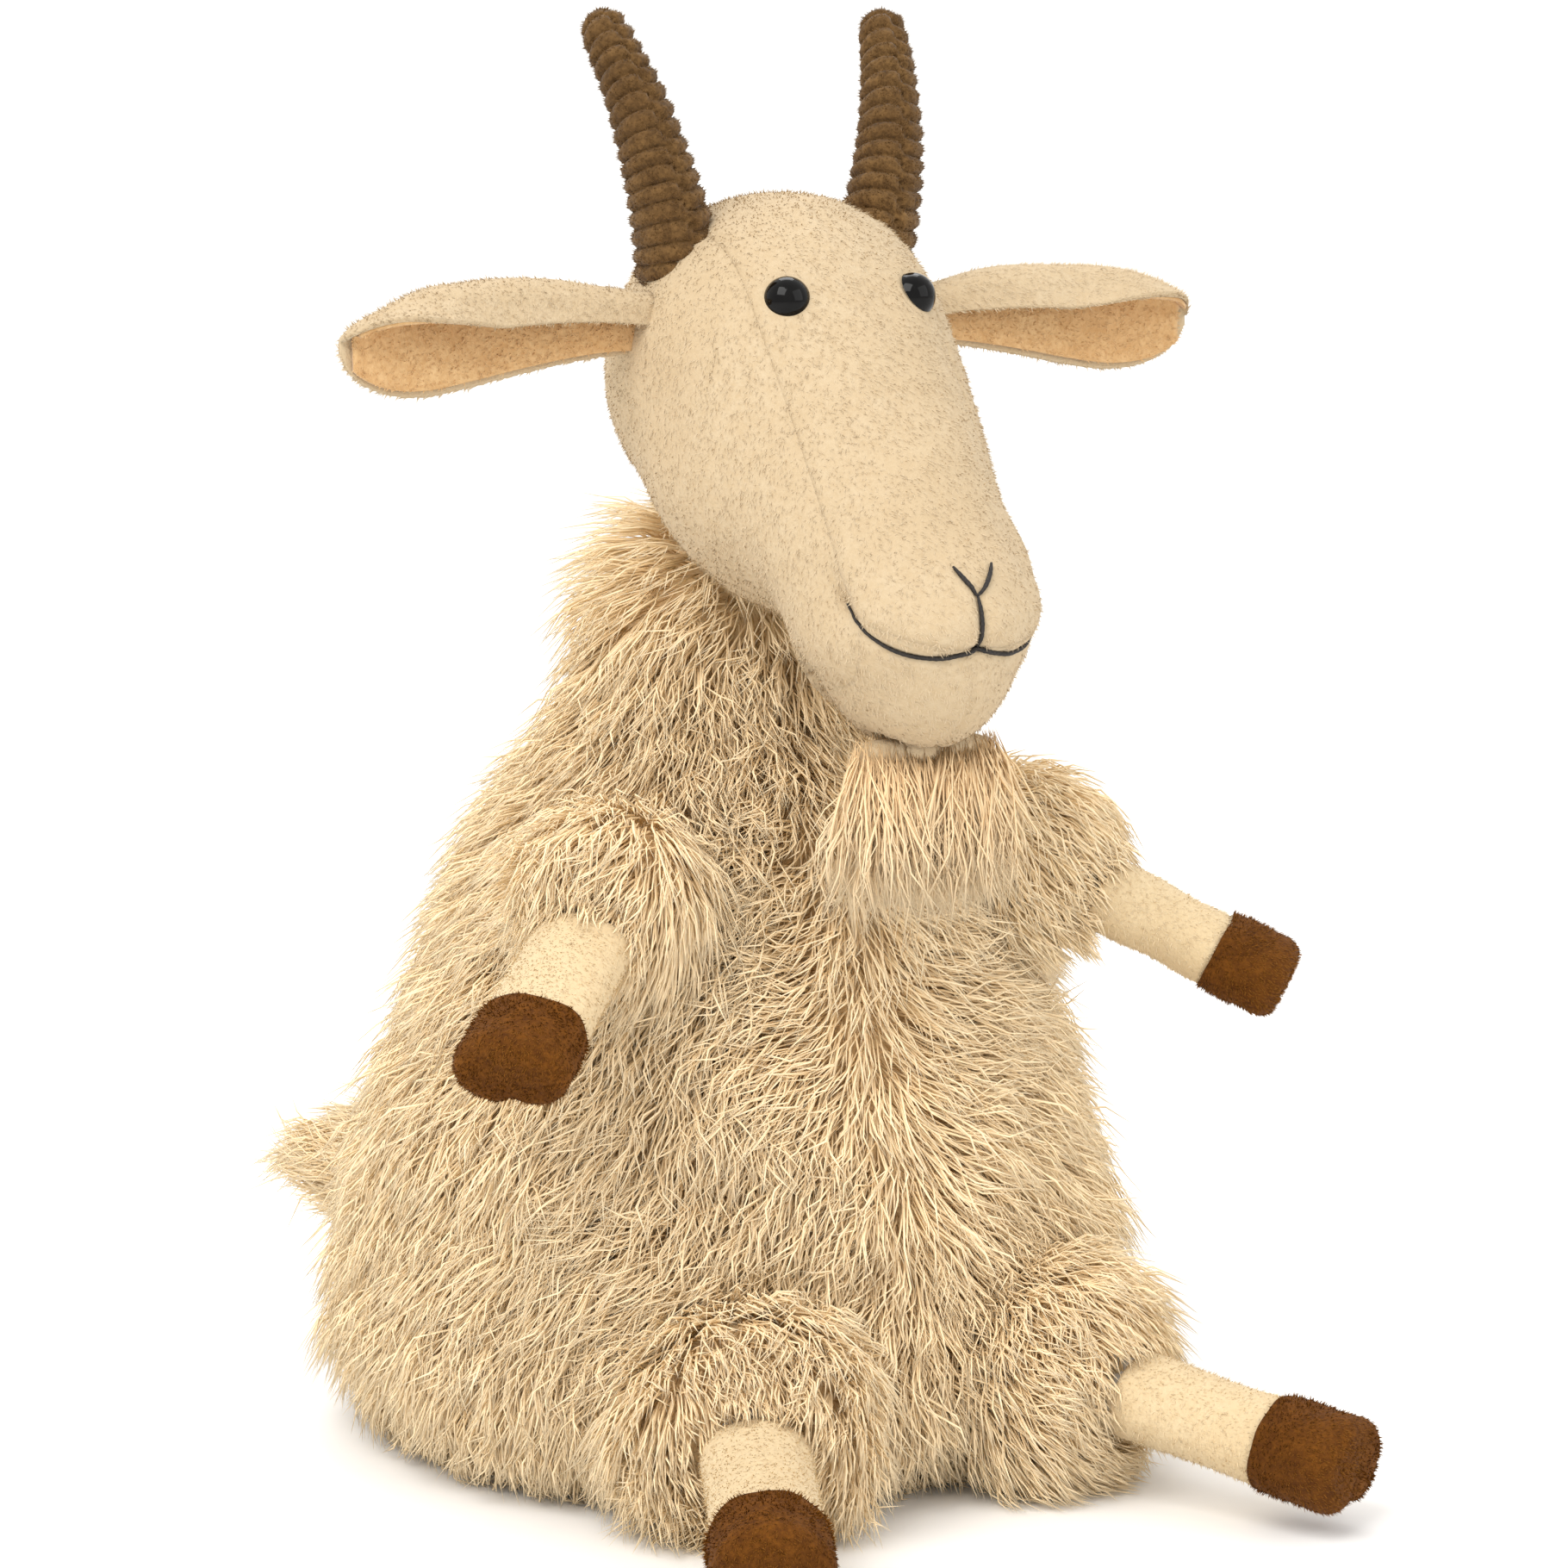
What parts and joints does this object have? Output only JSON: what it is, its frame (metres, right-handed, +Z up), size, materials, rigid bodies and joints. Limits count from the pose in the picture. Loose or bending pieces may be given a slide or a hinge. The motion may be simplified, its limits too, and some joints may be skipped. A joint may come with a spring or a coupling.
{
  "type": "seated plush goat",
  "caption": "Seated stuffed goat with a shaggy long-fur body, short-pile head, ribbed corduroy horns, level leaf ears, a fur beard and soft hooves on sewn, springy limbs.",
  "frame": {"origin": "centre of the flat base panel, on the surface that the goat sits on", "axes": "+Z up, the goat faces -Y, its left side is +X"},
  "size_m": [0.218, 0.2851, 0.3345],
  "materials": {
    "long_fur": "shaggy long-pile faux fur, matte, lighter tips",
    "short_plush": "short dense plush pile, matte",
    "ear_lining": "smooth brushed velour, soft sheen",
    "corduroy": "jumbo-wale corduroy, soft sheen on the ribs",
    "hoof_velour": "short velour, soft sheen",
    "beard_fur": "long straight faux fur, matte",
    "stuffing": "loose polyester fibre fill, matte",
    "pouch_cloth": "plain woven cotton",
    "pellets": "small moulded pellets, satin",
    "base_cloth": "flat knitted backing cloth, matte",
    "eye_plastic": "polished moulded plastic",
    "washer_plastic": "moulded plastic, satin",
    "black_thread": "satin-stitched embroidery thread",
    "closing_thread": "strong hand-sewing thread"
  },
  "bodies": {
    "torso": {"body_left_cover": "long_fur", "body_right_cover": "long_fur", "body_stuffing": "stuffing", "pellet_pouch": "pouch_cloth", "pellet_fill": "pellets", "base_panel": "base_cloth"},
    "neck_thread": {"neck_seam": "closing_thread"},
    "head": {"head_left_panel": "short_plush", "head_right_panel": "short_plush", "head_center_gusset": "short_plush", "chin_panel": "short_plush", "head_stuffing": "stuffing", "nose_stitch": "black_thread", "mouth_stitch": "black_thread", "left_eye": "eye_plastic", "right_eye": "eye_plastic", "left_eye_washer": "washer_plastic", "right_eye_washer": "washer_plastic", "left_horn_cover": "corduroy", "right_horn_cover": "corduroy", "left_horn_stuffing": "stuffing", "right_horn_stuffing": "stuffing"},
    "beard": {"beard": "beard_fur"},
    "tail": {"tail": "long_fur"},
    "left_ear": {"left_ear_outer": "short_plush", "left_ear_inner": "ear_lining"},
    "left_shoulder_thread": {"left_shoulder_seam": "closing_thread"},
    "left_arm": {"left_sleeve": "long_fur", "left_forearm_cover": "short_plush", "left_front_hoof": "hoof_velour", "left_arm_stuffing": "stuffing"},
    "left_hip_thread": {"left_hip_seam": "closing_thread"},
    "left_leg": {"left_thigh_cover": "long_fur", "left_shin_cover": "short_plush", "left_hind_hoof": "hoof_velour", "left_leg_stuffing": "stuffing"},
    "right_ear": {"right_ear_outer": "short_plush", "right_ear_inner": "ear_lining"},
    "right_shoulder_thread": {"right_shoulder_seam": "closing_thread"},
    "right_arm": {"right_sleeve": "long_fur", "right_forearm_cover": "short_plush", "right_front_hoof": "hoof_velour", "right_arm_stuffing": "stuffing"},
    "right_hip_thread": {"right_hip_seam": "closing_thread"},
    "right_leg": {"right_thigh_cover": "long_fur", "right_shin_cover": "short_plush", "right_hind_hoof": "hoof_velour", "right_leg_stuffing": "stuffing"}
  },
  "joints": [
    {"name": "head_turn", "type": "hinge", "parent": "torso", "child": "neck_thread", "pos_m": [0, 0, 0.188], "axis": [0, 0, 1], "range_deg": [-20, 20], "stiffness_Nm_per_rad": 1.5},
    {"name": "head_nod", "type": "hinge", "parent": "neck_thread", "child": "head", "pos_m": [0, 0, 0.188], "axis": [1, 0, 0], "range_deg": [-20, 8], "stiffness_Nm_per_rad": 1.5},
    {"name": "beard_swing", "type": "hinge", "parent": "head", "child": "beard", "pos_m": [0, -0.087, 0.171], "axis": [1, 0, 0], "range_deg": [-8, 20]},
    {"name": "tail_wag", "type": "hinge", "parent": "torso", "child": "tail", "pos_m": [-0.024, 0.096, 0.04], "axis": [0, 0, 1], "range_deg": [-30, 15], "stiffness_Nm_per_rad": 0.04},
    {"name": "left_ear_flap", "type": "hinge", "parent": "head", "child": "left_ear", "pos_m": [0.0375, -0.025, 0.263], "axis": [0, 1, 0], "range_deg": [-25, 20], "stiffness_Nm_per_rad": 0.04},
    {"name": "left_arm_swing", "type": "hinge", "parent": "torso", "child": "left_shoulder_thread", "pos_m": [0.05362, -0.045, 0.138], "axis": [0, 0, 1], "range_deg": [-12, 20], "stiffness_Nm_per_rad": 0.12},
    {"name": "left_arm_raise", "type": "hinge", "parent": "left_shoulder_thread", "child": "left_arm", "pos_m": [0.05362, -0.045, 0.138], "axis": [-0.6428, -0.766, 0], "range_deg": [0, 45], "stiffness_Nm_per_rad": 0.12},
    {"name": "left_leg_splay", "type": "hinge", "parent": "torso", "child": "left_hip_thread", "pos_m": [0.03945, -0.08089, 0.026], "axis": [0, 0, 1], "range_deg": [-10, 18], "stiffness_Nm_per_rad": 0.15},
    {"name": "left_leg_lift", "type": "hinge", "parent": "left_hip_thread", "child": "left_leg", "pos_m": [0.03945, -0.08089, 0.026], "axis": [-0.8988, -0.4384, 0], "range_deg": [0, 35], "stiffness_Nm_per_rad": 0.15},
    {"name": "right_ear_flap", "type": "hinge", "parent": "head", "child": "right_ear", "pos_m": [-0.0375, -0.025, 0.263], "axis": [0, -1, 0], "range_deg": [-25, 20], "stiffness_Nm_per_rad": 0.04},
    {"name": "right_arm_swing", "type": "hinge", "parent": "torso", "child": "right_shoulder_thread", "pos_m": [-0.05362, -0.045, 0.138], "axis": [0, 0, -1], "range_deg": [-12, 20], "stiffness_Nm_per_rad": 0.12},
    {"name": "right_arm_raise", "type": "hinge", "parent": "right_shoulder_thread", "child": "right_arm", "pos_m": [-0.05362, -0.045, 0.138], "axis": [-0.6428, 0.766, 0], "range_deg": [0, 45], "stiffness_Nm_per_rad": 0.12},
    {"name": "right_leg_splay", "type": "hinge", "parent": "torso", "child": "right_hip_thread", "pos_m": [-0.03945, -0.08089, 0.026], "axis": [0, 0, -1], "range_deg": [-10, 18], "stiffness_Nm_per_rad": 0.15},
    {"name": "right_leg_lift", "type": "hinge", "parent": "right_hip_thread", "child": "right_leg", "pos_m": [-0.03945, -0.08089, 0.026], "axis": [-0.8988, 0.4384, 0], "range_deg": [0, 35], "stiffness_Nm_per_rad": 0.15}
  ],
  "couplings": [
    {"joint": "beard_swing", "follows": "head_nod", "ratio": -1}
  ]
}
